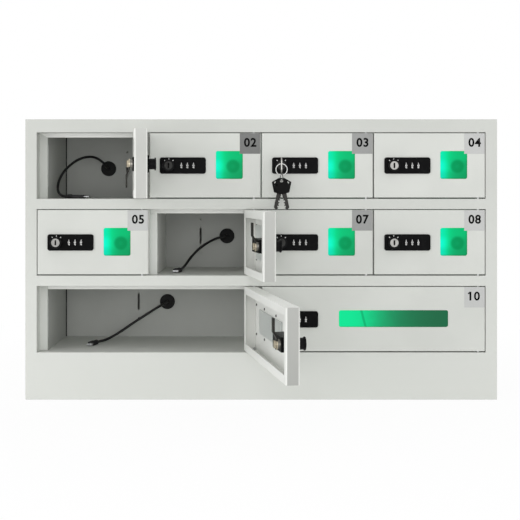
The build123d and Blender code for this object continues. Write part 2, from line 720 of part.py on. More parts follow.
def grommet(c):
    """A rubber plug with a flange on each side of the partition."""
    x, z = grommet_place(c)
    flange = rod_y(x, z, PARTITION_FRONT - GROMMET_FLANGE, PARTITION_FRONT, GROMMET_RADIUS)
    flange = fillet(flange.edges().group_by(Axis.Y)[0], GROMMET_CORNER)
    neck = rod_y(x, z, PARTITION_FRONT, PARTITION_BACK, GROMMET_NECK_RADIUS)
    rear = rod_y(x, z, PARTITION_BACK, PARTITION_BACK + GROMMET_FLANGE, GROMMET_REAR_RADIUS)
    return flange + neck + rear


def cable_grommets():
    return [grommet(c) for c in compartments()]


def inlet_place():
    return INNER_HALF - INLET_FROM_EDGE, HUB_BOTTOM + SHEET + HUB_SIZE[2] / 2


def charging_hub():
    """The charger that feeds the leads, on the rear cover, with its mains inlet beside it."""
    width, depth, height = HUB_SIZE
    bottom = HUB_BOTTOM + SHEET
    case = block((-width / 2, width / 2), (COVER_FRONT - depth, COVER_FRONT), (bottom, bottom + height))
    case = fillet(case.edges().filter_by(Axis.X), HUB_CORNER)
    port_width, port_depth, port_height = HUB_PORT
    for c in compartments():
        x = -width / 2 + width * (c.number - 0.5) / len(compartments())
        case -= block(
            (x - port_width / 2, x + port_width / 2),
            (COVER_FRONT - depth, COVER_FRONT - depth + port_depth),
            (bottom + HUB_PORT_RISE - port_height / 2, bottom + HUB_PORT_RISE + port_height / 2),
        )
    x, z = inlet_place()
    body = rounded_slab(x, z, COVER_FRONT - depth / 2, BACK + SHEET, *INLET_SIZE, INLET_CORNER)
    well_width, well_height, well_depth = INLET_WELL
    body -= block(
        (x - well_width / 2, x + well_width / 2),
        (BACK + SHEET - well_depth, BACK + SHEET),
        (z - well_height / 2, z + well_height / 2),
    )
    bridge = block(
        (width / 2, x - INLET_SIZE[0] / 2),
        (COVER_FRONT - depth / 2, COVER_FRONT),
        (z - HUB_BRIDGE_HEIGHT / 2, z + HUB_BRIDGE_HEIGHT / 2),
    )
    return case + bridge + body


def lead_routes():
    """The points that each lead runs past, from its grommet to its connector."""
    places = {c.number: grommet_place(c) for c in compartments()}
    exits = {number: (x, PARTITION_FRONT - GROMMET_FLANGE, z) for number, (x, z) in places.items()}
    straight = {number: (x, y - LEAD_STRAIGHT, z) for number, (x, y, z) in exits.items()}
    lying = {c.number: c.floor + LEAD_DIAMETER / 2 + LEAD_REST_GAP for c in compartments()}
    return {
        1: [
            exits[1],
            straight[1],
            (-257.5, 37.0, 357.5),
            (-272.0, 24.0, 365.5),
            (-289.0, 7.0, 361.5),
            (-302.0, -14.0, 350.5),
            (-311.0, -35.0, 336.5),
            (-314.5, -55.0, 320.5),
            (-311.5, -71.0, 307.0),
            (-302.0, -80.0, lying[1]),
            (-288.0, -82.5, lying[1]),
        ],
        6: [
            exits[6],
            straight[6],
            (-66.0, 38.0, 234.5),
            (-80.0, 28.0, 229.5),
            (-96.0, 16.0, 220.0),
            (-110.5, 3.0, 206.0),
            (-120.5, -12.0, 191.0),
            (-126.0, -29.0, lying[6]),
            (-128.0, -47.0, lying[6]),
        ],
        9: [
            exits[9],
            straight[9],
            (-163.0, 39.0, 123.5),
            (-178.0, 32.0, 114.5),
            (-205.0, 27.0, 97.5),
            (-230.0, 16.0, 80.5),
            (-247.0, 2.0, lying[9]),
            (-256.0, -15.0, lying[9]),
            (-259.5, -33.0, lying[9]),
        ],
        10: [
            exits[10],
            straight[10],
            (174.0, 36.0, 122.0),
            (169.0, 27.0, 107.0),
            (163.0, 18.0, 90.0),
            (153.0, 6.0, 76.5),
            (140.0, -8.0, lying[10]),
            (131.0, -25.0, lying[10]),
            (127.0, -42.0, lying[10]),
        ],
    }


def turn_at(before, corner, after):
    arrive, leave = Vector(*corner) - Vector(*before), Vector(*after) - Vector(*corner)
    return arrive.get_angle(leave), min(arrive.length, leave.length)


def lead_radii(points):
    """One radius for each corner of a route, as large as its two runs allow."""
    radii = []
    for before, corner, after in zip(points, points[1:], points[2:]):
        turn, shorter = turn_at(before, corner, after)
        radii.append(LEAD_ARC_SHARE * shorter / tan(radians(turn / 2)))
    return radii


def lead(number):
    """A round cable along its route, straight runs joined by arcs."""
    points = lead_routes()[number]
    radii = lead_radii(points)
    path = FilletPolyline(*points, radius=radii)
    start = Plane(points[0], z_dir=Vector(*points[1]) - Vector(*points[0]))
    tube = sweep(start * Circle(LEAD_DIAMETER / 2), path=path)
    section = pi * LEAD_DIAMETER**2 / 4
    share = tube.volume / (section * path.length)
    print(f"lead {number}: length {path.length:.1f}, smallest radius {min(radii):.1f}, volume share {share:.4f}")
    return tube


def lead_connector(number):
    """Moulded grip and metal shell at the end of one lead, lying on the compartment's floor."""
    before, end = lead_routes()[number][-2:]
    grip_width, grip_height, grip_length = CONNECTOR_GRIP
    shell_width, shell_height, shell_length = CONNECTOR_SHELL
    along = Vector(*end) - Vector(*before)
    face = Plane(end, x_dir=along.cross(Vector(0, 0, 1)), z_dir=along)
    lift = grip_height / 2 - LEAD_DIAMETER / 2
    grip = Pos(0, -lift, grip_length / 2) * Box(grip_width, grip_height, grip_length)
    grip = fillet(grip.edges().filter_by(Axis.Z), CONNECTOR_GRIP_CORNER)
    shell = Pos(0, -lift, grip_length + shell_length / 2) * Box(shell_width, shell_height, shell_length)
    shell = fillet(shell.edges().filter_by(Axis.Z), CONNECTOR_SHELL_CORNER)
    return face * (grip + shell)


# ---- Assembly -----------------------------------------------------------------------------------------


def standing(c, shape):
    """A door's piece turned about the door's pins to where that door stands."""
    angle = STANDING_OPEN.get(c.number, 0.0)
    x, y = c.right - DOOR_SIDE_GAP - PIN_INSET, FRONT + PIN_SETBACK
    return Pos(x, y, 0) * Rot(0, 0, angle) * Pos(-x, -y, 0) * shape


def write(name, shape):
    solids = shape if isinstance(shape, list) else [shape]
    export_step(Compound(children=solids) if len(solids) > 1 else solids[0], f"parts/{name}.step")


def main():
    os.makedirs("parts", exist_ok=True)
    write("outer_case", outer_case())
    write("base_plinth", base_plinth())
    write("row_shelves", [shelf(row) for row in range(1, ROW_COUNT)])
    write("compartment_walls", compartment_walls())
    write("back_partition", back_partition())
    write("rear_cover", rear_cover())
    write("cover_screws", cover_screws())
    write("hinge_pins", hinge_pins())
    write("cable_grommets", cable_grommets())
    write("charging_hub", charging_hub())
    for number in lead_routes():
        write(f"charging_lead_{number:02d}", lead(number))
    write("lead_connectors", [lead_connector(number) for number in lead_routes()])
    for c in compartments():
        label = f"{c.number:02d}"
        write(f"door_panel_{label}", standing(c, door_panel(c)))
        write(f"window_pane_{label}", standing(c, window_pane(c)))
        write(f"lock_body_{label}", [standing(c, piece) for piece in lock_pieces(c)])
        write(f"lock_cam_{label}", standing(c, turning_spindle(c)))
        if c.number == KEYED_DOOR:
            for place, wheel in zip(("left", "middle", "right"), dial_wheels(c)):
                write(f"dial_{place}_{label}", wheel)
            write("key_in_lock", key_in_lock(c))
            write("spare_keys", spare_keys(c))


main()
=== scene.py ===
import json
import math

import bmesh
import bpy
from mathutils import Matrix, Vector


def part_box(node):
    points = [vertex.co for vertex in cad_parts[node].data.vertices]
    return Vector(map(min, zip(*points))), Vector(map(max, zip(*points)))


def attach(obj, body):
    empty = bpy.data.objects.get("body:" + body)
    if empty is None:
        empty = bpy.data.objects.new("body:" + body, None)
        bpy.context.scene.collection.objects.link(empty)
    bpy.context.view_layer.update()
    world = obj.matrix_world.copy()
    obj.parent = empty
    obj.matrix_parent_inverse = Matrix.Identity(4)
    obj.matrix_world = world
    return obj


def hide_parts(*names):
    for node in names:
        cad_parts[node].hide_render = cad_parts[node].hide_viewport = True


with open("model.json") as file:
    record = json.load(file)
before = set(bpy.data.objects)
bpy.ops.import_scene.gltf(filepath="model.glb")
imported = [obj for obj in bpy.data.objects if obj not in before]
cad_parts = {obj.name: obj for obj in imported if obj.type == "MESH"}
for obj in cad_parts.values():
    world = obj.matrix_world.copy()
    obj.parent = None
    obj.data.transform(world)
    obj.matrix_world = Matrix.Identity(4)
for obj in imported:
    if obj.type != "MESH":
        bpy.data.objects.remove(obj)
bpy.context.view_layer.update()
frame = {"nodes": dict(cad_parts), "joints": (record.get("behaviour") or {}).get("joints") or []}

nodes = frame["nodes"]
MM = 0.001

# ---- Camera ---------------------------------------------------------------------------------
# A level camera in front of the doors, at the height of the middle row's tops. Its small
# shift only frames the case.
VIEWPOINT = (0.0, -1.93, 0.314)

camera_data = bpy.data.cameras.new("front_camera")
camera_data.lens = 84.0
camera_data.sensor_width = 36.0
camera_data.shift_x = -0.0023
camera_data.shift_y = -0.1385
camera_data.clip_start = 0.05
camera = bpy.data.objects.new("front_camera", camera_data)
camera.location = VIEWPOINT
camera.rotation_euler = (math.radians(90), 0, 0)
bpy.context.scene.collection.objects.link(camera)
bpy.context.scene.camera = camera

# ---- Charging leads -------------------------------------------------------------------------
# Round black leads, soft PVC over a copper pair. Each comes out of the grommet at the back of
# its compartment, arches or drops forward and lies on the floor up to its connector.
LEAD_DIAMETER = 4.0 * MM
GROMMET_FACE_Y = 62.5
LEAD_POINTS = {
    "01": [
        (-250.75, GROMMET_FACE_Y, 345.65),
        (-250.75, 49.0, 345.65),
        (-257.5, 37.0, 357.5),
        (-272.0, 24.0, 365.5),
        (-289.0, 7.0, 361.5),
        (-302.0, -14.0, 350.5),
        (-311.0, -35.0, 336.5),
        (-314.5, -55.0, 320.5),
        (-311.5, -71.0, 307.0),
        (-302.0, -80.0, 300.1),
        (-288.0, -82.5, 300.1),
    ],
    "06": [
        (-56.25, GROMMET_FACE_Y, 235.25),
        (-56.25, 49.0, 235.25),
        (-66.0, 38.0, 234.5),
        (-80.0, 28.0, 229.5),
        (-96.0, 16.0, 220.0),
        (-110.5, 3.0, 206.0),
        (-120.5, -12.0, 191.0),
        (-126.0, -29.0, 186.1),
        (-128.0, -47.0, 186.1),
    ],
    "09": [
        (-154.1, GROMMET_FACE_Y, 127.25),
        (-154.1, 49.0, 127.25),
        (-163.0, 39.0, 123.5),
        (-178.0, 32.0, 114.5),
        (-205.0, 27.0, 97.5),
        (-230.0, 16.0, 80.5),
        (-247.0, 2.0, 72.1),
        (-256.0, -15.0, 72.1),
        (-259.5, -33.0, 72.1),
    ],
    "10": [
        (178.9, GROMMET_FACE_Y, 127.25),
        (178.9, 49.0, 127.25),
        (174.0, 36.0, 122.0),
        (169.0, 27.0, 107.0),
        (163.0, 18.0, 90.0),
        (153.0, 6.0, 76.5),
        (140.0, -8.0, 72.1),
        (131.0, -25.0, 72.1),
        (127.0, -42.0, 72.1),
    ],
}


class Signal:
    """A shader socket in an expression: every operator adds the Math node that it stands for."""

    def __init__(self, finish, socket):
        self.finish = finish
        self.socket = socket

    def maths(self, operation, *values):
        inputs = dict(enumerate(values))
        return self.finish.node("ShaderNodeMath", {"operation": operation}, inputs)

    def __add__(self, other):
        return self.maths("ADD", self, other)

    def __radd__(self, other):
        return self.maths("ADD", other, self)

    def __sub__(self, other):
        return self.maths("SUBTRACT", self, other)

    def __rsub__(self, other):
        return self.maths("SUBTRACT", other, self)

    def __mul__(self, other):
        return self.maths("MULTIPLY", self, other)

    def __rmul__(self, other):
        return self.maths("MULTIPLY", other, self)

    def __truediv__(self, other):
        return self.maths("DIVIDE", self, other)

    def __pow__(self, other):
        return self.maths("POWER", self, other)

    def __abs__(self):
        return self.maths("ABSOLUTE", self)

    def clamped(self):
        return self.maths("MINIMUM", self.maths("MAXIMUM", self, 0.0), 1.0)

    def step(self, low, high):
        """0 below low, 1 above high and smooth between them."""
        settings = {"interpolation_type": "SMOOTHSTEP"}
        inputs = {"Value": self, "From Min": low, "From Max": high}
        return self.finish.node("ShaderNodeMapRange", settings, inputs)


class Network:
    """A node tree, with one way to add any node to it."""

    def __init__(self, tree):
        self.tree = tree

    def feed(self, socket, value):
        if isinstance(value, Signal):
            self.tree.links.new(value.socket, socket)
        elif isinstance(value, tuple) and len(value) == 3 and socket.type == "RGBA":
            socket.default_value = (*value, 1.0)
        else:
            socket.default_value = value

    def node(self, kind, settings=None, inputs=None, output=0):
        """Adds a node, with its settings first and then the values or links of its sockets."""
        made = self.tree.nodes.new(kind)
        for name, value in (settings or {}).items():
            setattr(made, name, value)
        for name, value in (inputs or {}).items():
            self.feed(made.inputs[name], value)
        return Signal(self, made.outputs[output])

    def unlit(self):
        """1 for the rays that only look at the white surroundings, 0 for the light's own rays."""
        kinds = ("Is Camera Ray", "Is Glossy Ray", "Is Transmission Ray")
        looks = [self.node("ShaderNodeLightPath", output=kind) for kind in kinds]
        return (looks[0] + looks[1] + looks[2]).clamped()


class Finish(Network):
    """A procedural material: the shader's own constants, and the nodes that vary over a surface."""

    def __init__(self, name, **constants):
        self.material = bpy.data.materials.new(name)
        self.material.use_nodes = True
        super().__init__(self.material.node_tree)
        self.shader = self.tree.nodes["Principled BSDF"]
        for socket, value in constants.items():
            self.set(socket.replace("_", " "), value)

    def set(self, socket, value):
        """Sets or links one socket of the shader."""
        self.feed(self.shader.inputs[socket], value)

    def place(self):
        """The place on the piece, in metres."""
        return self.node("ShaderNodeTexCoord", output="Object")

    def stretched(self, scale):
        """The place on the piece, drawn out to a different scale along each axis."""
        return self.node("ShaderNodeMapping", None, {"Vector": self.place(), "Scale": scale})

    def part(self, vector, axis):
        return self.node("ShaderNodeSeparateXYZ", None, {0: vector}, output=axis)

    def noise(self, scale, detail=2.0, roughness=0.5, where=None):
        inputs = {"Vector": where or self.place(), "Scale": scale, "Detail": detail, "Roughness": roughness}
        return self.node("ShaderNodeTexNoise", None, inputs)

    def blend(self, share, first, second):
        """One colour mixed into another."""
        settings = {"data_type": "RGBA"}
        return self.node("ShaderNodeMix", settings, {0: share, 6: first, 7: second}, output=2)

    def bump(self, height, depth, strength=1.0):
        """Relief of a given depth in metres on the whole surface."""
        inputs = {"Height": height, "Distance": depth, "Strength": strength}
        self.set("Normal", self.node("ShaderNodeBump", None, inputs))


def seen(red, green, blue):
    """A colour as it looks on a screen, 0 to 255, in the linear numbers that shaders take."""
    shares = [value / 255 for value in (red, green, blue)]
    return tuple(s / 12.92 if s <= 0.04045 else ((s + 0.055) / 1.055) ** 2.4 for s in shares)


def linked(name, data):
    made = bpy.data.objects.new(name, data)
    bpy.context.scene.collection.objects.link(made)
    return made


lead_sheath = Finish("lead_sheath", Specular_IOR_Level=0.45)
strands = lead_sheath.noise(scale=900.0)
scuffs = lead_sheath.noise(scale=60.0, detail=4.0)
lead_sheath.set("Base Color", lead_sheath.blend(scuffs, seen(14, 14, 15), seen(27, 27, 28)))
lead_sheath.set("Roughness", 0.42 + 0.16 * scuffs)
lead_sheath.bump(strands, depth=0.05 * MM)

leads = {}
for number, points in LEAD_POINTS.items():
    line = bpy.data.curves.new(f"lead_{number}", "CURVE")
    line.dimensions = "3D"
    spline = line.splines.new("NURBS")
    spline.points.add(len(points) - 1)
    for knot, point in zip(spline.points, points):
        knot.co = (*[value * MM for value in point], 1.0)
    spline.order_u = 3
    spline.use_endpoint_u = True
    spline.resolution_u = 10
    line.bevel_depth = LEAD_DIAMETER / 2
    line.bevel_resolution = 4
    line.use_fill_caps = True
    line.materials.append(lead_sheath.material)
    leads[number] = linked(f"lead_{number}", line)
    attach(leads[number], "cabinet")
    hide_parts(f"charging_lead_{number}")

# ---- Connectors -----------------------------------------------------------------------------
# A moulded grip with a soft boot on the lead and ribs for the fingers, and a drawn steel
# shell in front of it. It lies flat where the lead ends.
SMOOTH_BELOW = math.radians(38)
GRIP = Vector((11.0, 5.6, 20.0)) * MM
SHELL = Vector((8.4, 2.6, 8.0)) * MM
BOOT_LENGTH = 7.0 * MM
GRIP_ROUNDING = 1.4 * MM
GRIP_RIBS = 5
RIB_PITCH = 2.2 * MM
RIBS_FROM = 0.34 * GRIP.z
GROOVE_SHARE = 0.93
SHELL_ROUNDING = 1.1 * MM
SHELL_MOUTH_DEPTH = 6.0 * MM
BOOT_WALL = 0.5 * MM

connector_plastic = Finish("connector_plastic", Specular_IOR_Level=0.4)
grain = connector_plastic.noise(scale=1500.0)
connector_plastic.set("Base Color", connector_plastic.blend(grain, seen(17, 17, 18), seen(30, 30, 31)))
connector_plastic.set("Roughness", 0.5 + 0.1 * grain)
connector_plastic.bump(grain, depth=0.03 * MM)
shell_steel = Finish("connector_steel", Metallic=1.0)
shell_steel.set("Base Color", seen(196, 197, 198))
shell_steel.set("Roughness", 0.22 + 0.12 * shell_steel.noise(scale=400.0, detail=3.0))


def stadium(half_width, half_height, radius, steps=5):
    """The outline of a rounded rectangle, from its right side round to the left."""
    outline = []
    for quarter, (across, up) in enumerate(((1, 1), (-1, 1), (-1, -1), (1, -1))):
        for step in range(steps + 1):
            turn = math.radians(90 * (quarter + step / steps))
            x = across * (half_width - radius) + radius * math.cos(turn)
            y = up * (half_height - radius) + radius * math.sin(turn)
            outline.append((x, y))
    return outline


def lofted(mesh, sections, material=0):
    """Joins outlines with the same number of points, each at its height, and closes both ends."""
    rings = [[mesh.verts.new((x, y, z)) for x, y in outline] for z, outline in sections]
    faces = [mesh.faces.new(list(reversed(rings[0]))), mesh.faces.new(rings[-1])]
    for lower, upper in zip(rings, rings[1:]):
        for index in range(len(lower)):
            after = (index + 1) % len(lower)
            faces.append(mesh.faces.new((lower[index], lower[after], upper[after], upper[index])))
    for face in faces:
        face.material_index = material
        face.smooth = True


def finished(name, mesh, body, materials):
    """Turns a bmesh into a piece that rides on a body."""
    bmesh.ops.recalc_face_normals(mesh, faces=mesh.faces)
    data = bpy.data.meshes.new(name)
    mesh.to_mesh(data)
    mesh.free()
    data.set_sharp_from_angle(angle=SMOOTH_BELOW)
    for finish in materials:
        data.materials.append(finish.material)
    piece = linked(name, data)
    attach(piece, body)
    return piece


for number, points in LEAD_POINTS.items():
    before, end = [Vector(point) * MM for point in points[-2:]]
    along = (end - before).normalized()
    across = along.cross(Vector((0, 0, 1))).normalized()
    upward = across.cross(along)
    lift = GRIP.y / 2 - LEAD_DIAMETER / 2
    made = bmesh.new()
    heights = [(0.0, 0.90), (0.8 * MM, 1.0), (RIBS_FROM - 0.5 * MM, 1.0)]
    for rib in range(GRIP_RIBS):
        start = RIBS_FROM + rib * RIB_PITCH
        heights += [(start, GROOVE_SHARE), (start + 0.9 * MM, GROOVE_SHARE), (start + 1.2 * MM, 1.0)]
    heights += [(GRIP.z - 0.6 * MM, 1.0), (GRIP.z, 0.92)]
    sections = [(z, stadium(GRIP.x / 2 * s, GRIP.y / 2 * s, GRIP_ROUNDING * s)) for z, s in heights]
    lofted(made, sections)
    neck = LEAD_DIAMETER / 2 + BOOT_WALL
    boot = [(-BOOT_LENGTH, neck), (-BOOT_LENGTH * 0.6, neck + 0.1 * MM), (0.0, neck + 0.3 * MM)]
    shifted = [(z, [(x, y + lift) for x, y in stadium(r, r, r * 0.98)]) for z, r in boot]
    lofted(made, shifted)
    mouth = GRIP.z + SHELL.z
    sleeve = [(GRIP.z - 0.2 * MM, 1.0, 1.0), (mouth, 1.0, 1.0)]
    sleeve += [(mouth, 0.88, 0.7), (mouth - SHELL_MOUTH_DEPTH, 0.88, 0.7)]
    outlines = [(z, stadium(SHELL.x / 2 * w, SHELL.y / 2 * h, SHELL_ROUNDING * h)) for z, w, h in sleeve]
    lofted(made, outlines, material=1)
    turn = Matrix((across, upward, along)).transposed().to_4x4()
    bmesh.ops.transform(made, matrix=Matrix.Translation(end + upward * lift) @ turn, verts=made.verts)
    finished(
        f"connector_{number}", made, "cabinet", [connector_plastic, shell_steel]
    )
    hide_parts("lead_connectors")

# ---- Outer case -----------------------------------------------------------------------------
# Roof, sides, front frame and rear flange, folded from 1.2 mm sheet steel and sprayed with a
# pale grey powder coat, which rounds the folds and leaves a fine, even texture.
FOLD_ROUNDING = 0.5 * MM
ROUNDING_STEPS = 2
SHARP_FROM = math.radians(32)
FLAT_BELOW = math.radians(0.2)
WELD_REACH = 0.002 * MM
STOPS_BEHIND_FRONT = 10.0 * MM
TOP_STOPS_FROM = 385.0 * MM


def powder_coat(name, colour, shade, foot=None):
    """Baked powder paint: a sheen, a fine stipple and a faint change of tone at random. A third colour,
    where given, takes over towards the foot: painted light where it is lighter, painted shade where it is
    darker.
    """
    coat = Finish(name, Specular_IOR_Level=0.35)
    stipple = coat.noise(scale=1100.0, detail=2.0)
    swell = coat.noise(scale=260.0, detail=1.0)
    tone = coat.noise(scale=9.0, detail=3.0)
    mixed = coat.blend(tone.step(0.35, 0.65), shade, colour)
    # Painted tone towards the foot: lighter for painted light, darker for painted shade.
    if foot:
        mixed = coat.blend(coat.part(coat.place(), "Z").step(0.0, 0.4), foot, mixed)
    coat.set("Base Color", mixed)
    coat.set("Roughness", 0.46 + 0.1 * tone + 0.04 * stipple)
    coat.bump(0.6 * stipple + 0.4 * swell, depth=0.04 * MM)
    return coat


def dress(node, *finishes):
    """Gives a fixed piece its finishes in place of the plain ones."""
    surface = nodes[node].data
    surface.materials.clear()
    for finish in finishes:
        surface.materials.append(finish.material)


def round_edges(node, width):
    """Rounds a folded or cut piece's edges and keeps its large faces flat."""
    piece = nodes[node]
    marks = piece.data.attributes.get("custom_normal")
    if marks:
        piece.data.attributes.remove(marks)
    for polygon in piece.data.polygons:
        polygon.use_smooth = True
    weld = piece.modifiers.new("weld", "WELD")
    weld.merge_threshold = WELD_REACH
    plain = piece.modifiers.new("plain", "DECIMATE")
    plain.decimate_type = "DISSOLVE"
    plain.angle_limit = FLAT_BELOW
    plain.delimit = {"MATERIAL"}
    bevel = piece.modifiers.new("round", "BEVEL")
    bevel.width = width
    bevel.segments = ROUNDING_STEPS
    bevel.limit_method = "ANGLE"
    bevel.angle_limit = SHARP_FROM
    bevel.use_clamp_overlap = False
    bevel.face_strength_mode = "FSTR_ALL"
    flat = piece.modifiers.new("flat", "WEIGHTED_NORMAL")
    flat.use_face_influence = True
    flat.keep_sharp = False


# The case paint turns lighter towards the foot: painted light.
case_paint = powder_coat("case_paint", seen(201, 203, 198), seen(197, 199, 194), seen(213, 215, 210))
# A lighter copy of the case paint for faces in the recesses and inside the doors: painted light.
painted_light_coat = powder_coat("painted_light_coat", seen(230, 231, 227), seen(226, 227, 223))
case_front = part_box("outer_case")[0].y


def paint_stops(node):
    """Gives the stops that the doors' tops close against the lighter coat, which is painted light."""
    dress(node, case_paint, painted_light_coat)
    for polygon in nodes[node].data.polygons:
        faces_out = polygon.normal.y < -0.9 and polygon.center.y > case_front + STOPS_BEHIND_FRONT
        above_doors = node == "row_shelves" or polygon.center.z > TOP_STOPS_FROM
        polygon.material_index = int(faces_out and above_doors)
    round_edges(node, FOLD_ROUNDING)


paint_stops("outer_case")

# ---- Plinth and shelves ---------------------------------------------------------------------
# The skirt with the bottom floor, and the two upper floors with their front rails, are trays
# folded from the same sheet and slid in between the sides.
dress("base_plinth", case_paint)
round_edges("base_plinth", FOLD_ROUNDING)
paint_stops("row_shelves")

# The ends of the rails and of the skirt are welded to the stiles, ground flush and painted over.
SEAM_X = 333.0 * MM
SEAM_WIDTH = 2.6 * MM
SEAM_THICKNESS = 0.1 * MM
SEAM_HEIGHTS = ((0.3, 69.6), (168.9, 183.6), (282.9, 297.6))


def upright_strips(name, places_x, y, heights, section, finish):
    """Thin upright strips of one section, at each x and from each lower to each upper height."""
    made = bmesh.new()
    for x in places_x:
        for low_z, high_z in heights:
            stretch = Matrix.Diagonal((*section, (high_z - low_z) * MM, 1.0))
            middle = Matrix.Translation((x, y, (low_z + high_z) / 2 * MM))
            bmesh.ops.create_cube(made, size=1.0, matrix=middle @ stretch)
    finished(name, made, "cabinet", [finish])


seam_section = (SEAM_WIDTH, SEAM_THICKNESS)
upright_strips(
    "weld_seams", (-SEAM_X, SEAM_X), case_front, SEAM_HEIGHTS, seam_section, case_paint
)

# ---- Compartment walls and back partition -----------------------------------------------------
# Channels between the compartments, side liners and the sheet behind them. The channels take the
# lighter coat, which is painted light. The liners and the sheet take a darker copy of the case
# paint, which is painted shade; the liners' fronts keep the case paint.
LINERS_FROM = 300.0 * MM
HAIR = 0.01 * MM
# A darker copy of the case paint for the liners and the partition: painted shade.
inner_paint = powder_coat("inner_paint", seen(189, 191, 187), seen(181, 183, 179))
dress("back_partition", inner_paint)
dress("compartment_walls", inner_paint, case_paint, painted_light_coat)
wall_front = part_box("compartment_walls")[0].y + HAIR
for polygon in nodes["compartment_walls"].data.polygons:
    in_liner = abs(polygon.center.x) > LINERS_FROM
    polygon.material_index = int(polygon.center.y < wall_front) if in_liner else 2
for node in ("compartment_walls", "back_partition"):
    round_edges(node, 0.3 * MM)

# A dark strip down the joint between the left-hand liners and the partition: painted shade.
BEAD_X = -320.1 * MM
BEAD_WIDTH = 1.7 * MM
BEAD_HEIGHTS = ((70.4, 168.2), (184.4, 282.2), (298.4, 396.2))

joint_shade = Finish("joint_shade", Specular_IOR_Level=0.3)
joint_shade.set("Base Color", joint_shade.blend(joint_shade.noise(scale=400.0), seen(16, 16, 16), seen(34, 34, 33)))
joint_shade.set("Roughness", 0.5 + 0.2 * joint_shade.noise(scale=120.0))
partition_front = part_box("back_partition")[0].y
bead_section = (BEAD_WIDTH, BEAD_WIDTH / 2)
upright_strips(
    "joint_shade_strips", (BEAD_X,), partition_front, BEAD_HEIGHTS, bead_section, joint_shade
)

# ---- Rear cover, screws and hinge pins ---------------------------------------------------------
# The cover of the service bay is held by eight round-headed screws. The doors hang on headed
# pins. All the fasteners are steel with a bright zinc plating.
dress("rear_cover", case_paint)
round_edges("rear_cover", 0.3 * MM)


def plated(name, bright, dull, roughness):
    """Plated or drawn metal with faint blotches and hairline scratches."""
    metal = Finish(name, Metallic=1.0)
    blotch = metal.noise(scale=140.0, detail=4.0, roughness=0.6)
    hairs = metal.noise(scale=1.0, detail=3.0, roughness=0.7, where=metal.stretched((2500.0, 2500.0, 90.0)))
    metal.set("Base Color", metal.blend(blotch, dull, bright))
    metal.set("Roughness", roughness + 0.14 * blotch + 0.06 * hairs)
    metal.bump(hairs, depth=0.01 * MM)
    return metal


zinc = plated("zinc_steel", seen(206, 207, 208), seen(168, 170, 172), roughness=0.26)
for node, rounding in (("cover_screws", 0.25 * MM), ("hinge_pins", 0.2 * MM)):
    dress(node, zinc)
    round_edges(node, rounding)

# ---- Grommets and charging hub ------------------------------------------------------------------
# Black rubber plugs with a flange on each side of the partition, and the charger box with its
# mains inlet in the service bay, moulded in black flame-proof plastic.
grommet_rubber = Finish("grommet_rubber", Specular_IOR_Level=0.3)
bloom = grommet_rubber.noise(scale=180.0, detail=4.0)
grommet_rubber.set("Base Color", grommet_rubber.blend(bloom, seen(12, 12, 12), seen(24, 24, 24)))
grommet_rubber.set("Roughness", 0.6 + 0.15 * bloom)
grommet_rubber.bump(grommet_rubber.noise(scale=1800.0), depth=0.03 * MM)
dress("cable_grommets", grommet_rubber)
round_edges("cable_grommets", 0.3 * MM)

hub_plastic = Finish("hub_plastic", Specular_IOR_Level=0.4)
spark = hub_plastic.noise(scale=1400.0)
hub_plastic.set("Base Color", hub_plastic.blend(spark, seen(26, 27, 29), seen(38, 39, 41)))
hub_plastic.set("Roughness", 0.55 + 0.12 * spark)
hub_plastic.bump(spark, depth=0.06 * MM)
dress("charging_hub", hub_plastic)
round_edges("charging_hub", 0.5 * MM)

# ---- Doors --------------------------------------------------------------------------------------
# Ten pans folded from one sheet each, with lips at the back. The lighter coat inside is painted
# light. Two headed pins carry each door, and three of the doors stand open.
NUMBERS = [f"{number:02d}" for number in range(1, 11)]
OPEN_DOORS = ("01", "06", "09")
SHEET = 1.2 * MM
hinges = {joint["name"][5:7]: joint for joint in frame["joints"] if joint["name"].endswith("_hinge")}


def standing(number):
    """The turn that takes a shut door to the place where it stands."""
    hinge = hinges[number]
    pin = Vector(hinge["pos_m"])
    opened = -math.radians(hinge["range_deg"][0])
    return Matrix.Translation(pin) @ Matrix.Rotation(opened, 4, "Z") @ Matrix.Translation(-pin)


def shut_box(number, node):
    """The lowest and highest corner of a door's piece as if the door were shut."""
    back = standing(number).inverted()
    places = [back @ vertex.co for vertex in nodes[node].data.vertices]
    low = Vector([min(place[axis] for place in places) for axis in range(3)])
    high = Vector([max(place[axis] for place in places) for axis in range(3)])
    return low, high


def assign(node, number, choose):
    """Gives each face of a fixed piece the finish that its place calls for."""
    back = standing(number).inverted()
    for polygon in nodes[node].data.polygons:
        polygon.material_index = choose(back @ polygon.center)


door_paint = powder_coat("door_paint", seen(210, 212, 207), seen(205, 207, 202))
# The free sides of the doors take a darker copy of the door paint, darker still towards the foot: painted
# shade.
painted_shade_edge = powder_coat("painted_shade_edge", seen(192, 193, 189), seen(186, 187, 183), seen(164, 165, 161))
for number in NUMBERS:
    panel = f"door_panel_{number}"
    outside = shut_box(number, panel)[0]
    # The inside of the pan takes the lighter coat: painted light.
    dress(panel, door_paint, painted_shade_edge, painted_light_coat)

    def part_of_door(place, outside=outside):
        """The free side, the inside of the pan with its lips, and the rest of the outside."""
        if place.x < outside.x + HAIR:
            return 1
        return 2 if place.y > outside.y + SHEET - HAIR else 0

    assign(panel, number, part_of_door)
    round_edges(panel, 0.35 * MM)

# Small studs are welded to the inside of the doors, and their plated ends are left bare.
STUD_RADIUS = 1.9 * MM
STUD_TAPER = 0.8
STUD_HEIGHT = 1.1 * MM
WIDE_DOORS = ("09", "10")
WIDE_STUDS = [(x, z) for z in (21.5, -22.0) for x in (-16.0, -84.0, -176.0)]
SMALL_STUDS = [(x, z) for z in (25.0, -25.0) for x in (-16.0, -84.0)]

